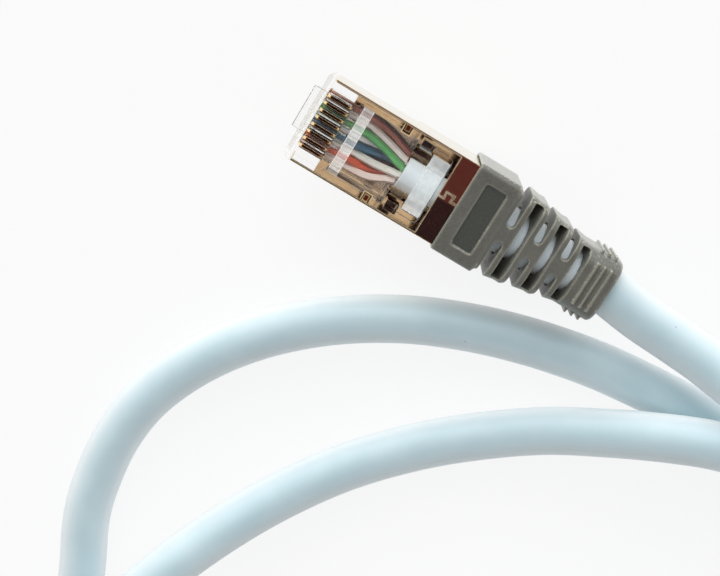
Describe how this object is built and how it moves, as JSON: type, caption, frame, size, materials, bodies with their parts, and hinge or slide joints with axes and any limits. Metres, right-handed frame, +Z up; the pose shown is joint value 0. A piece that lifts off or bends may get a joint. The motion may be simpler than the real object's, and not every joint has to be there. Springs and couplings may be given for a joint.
{
  "type": "ethernet patch cable",
  "caption": "Shielded network patch cable with clear latching plugs, gilt shields, slotted grey boots and a pale blue round cord lying in loose loops and a coil.",
  "frame": {"origin": "under the middle of the near plug, on the surface that it lies on", "axes": "+X from the near plug's nose to its cord, +Y across the plug, +Z up, with the near plug's contacts on top and its latch below"},
  "size_m": [0.1497, 0.1479, 0.0197],
  "materials": {
    "clear_plastic": "clear moulded polycarbonate, polished",
    "gilt": "thin gold plating on folded sheet, bright",
    "contact_gold": "hard gold plating, bright",
    "grey_vinyl": "soft moulded vinyl, fine grain",
    "sheath": "smooth pale blue vinyl, satin",
    "braid": "tinned braid",
    "wire_orange_white": "smooth insulation",
    "wire_orange": "smooth insulation",
    "wire_green_white": "smooth insulation",
    "wire_blue": "smooth insulation",
    "wire_blue_white": "smooth insulation",
    "wire_green": "smooth insulation",
    "wire_brown_white": "smooth insulation",
    "wire_brown": "smooth insulation"
  },
  "bodies": {
    "root": {"near_housing": "clear_plastic", "near_shield": "gilt", "near_load_bar": "clear_plastic", "near_strain_bar": "clear_plastic", "near_sheath_end": "sheath", "near_braid": "braid", "near_boot": "grey_vinyl", "near_contact_1": "contact_gold", "near_wire_1_orange_white": "wire_orange_white", "near_contact_2": "contact_gold", "near_wire_2_orange": "wire_orange", "near_contact_3": "contact_gold", "near_wire_3_green_white": "wire_green_white", "near_contact_4": "contact_gold", "near_wire_4_blue": "wire_blue", "near_contact_5": "contact_gold", "near_wire_5_blue_white": "wire_blue_white", "near_contact_6": "contact_gold", "near_wire_6_green": "wire_green", "near_contact_7": "contact_gold", "near_wire_7_brown_white": "wire_brown_white", "near_contact_8": "contact_gold", "near_wire_8_brown": "wire_brown", "far_housing": "clear_plastic", "far_shield": "gilt", "far_load_bar": "clear_plastic", "far_strain_bar": "clear_plastic", "far_sheath_end": "sheath", "far_braid": "braid", "far_boot": "grey_vinyl", "far_contact_1": "contact_gold", "far_wire_1_orange_white": "wire_orange_white", "far_contact_2": "contact_gold", "far_wire_2_orange": "wire_orange", "far_contact_3": "contact_gold", "far_wire_3_green_white": "wire_green_white", "far_contact_4": "contact_gold", "far_wire_4_blue": "wire_blue", "far_contact_5": "contact_gold", "far_wire_5_blue_white": "wire_blue_white", "far_contact_6": "contact_gold", "far_wire_6_green": "wire_green", "far_contact_7": "contact_gold", "far_wire_7_brown_white": "wire_brown_white", "far_contact_8": "contact_gold", "far_wire_8_brown": "wire_brown", "cable_lead": "sheath", "cable_coil": "sheath", "cable_run": "sheath"},
    "near_latch": {"near_latch": "clear_plastic"},
    "far_latch": {"far_latch": "clear_plastic"}
  },
  "joints": [
    {"name": "near_latch_press", "type": "hinge", "parent": "root", "child": "near_latch", "pos_m": [-0.0221, 0, 0.00475], "axis": [0, -1, 0], "range_deg": [0, 11], "stiffness_Nm_per_rad": 0.3},
    {"name": "far_latch_press", "type": "hinge", "parent": "root", "child": "far_latch", "pos_m": [0.12442, 0.00535, 0.00769], "axis": [0.1305, -0.9914, 0], "range_deg": [0, 11], "stiffness_Nm_per_rad": 0.3}
  ]
}
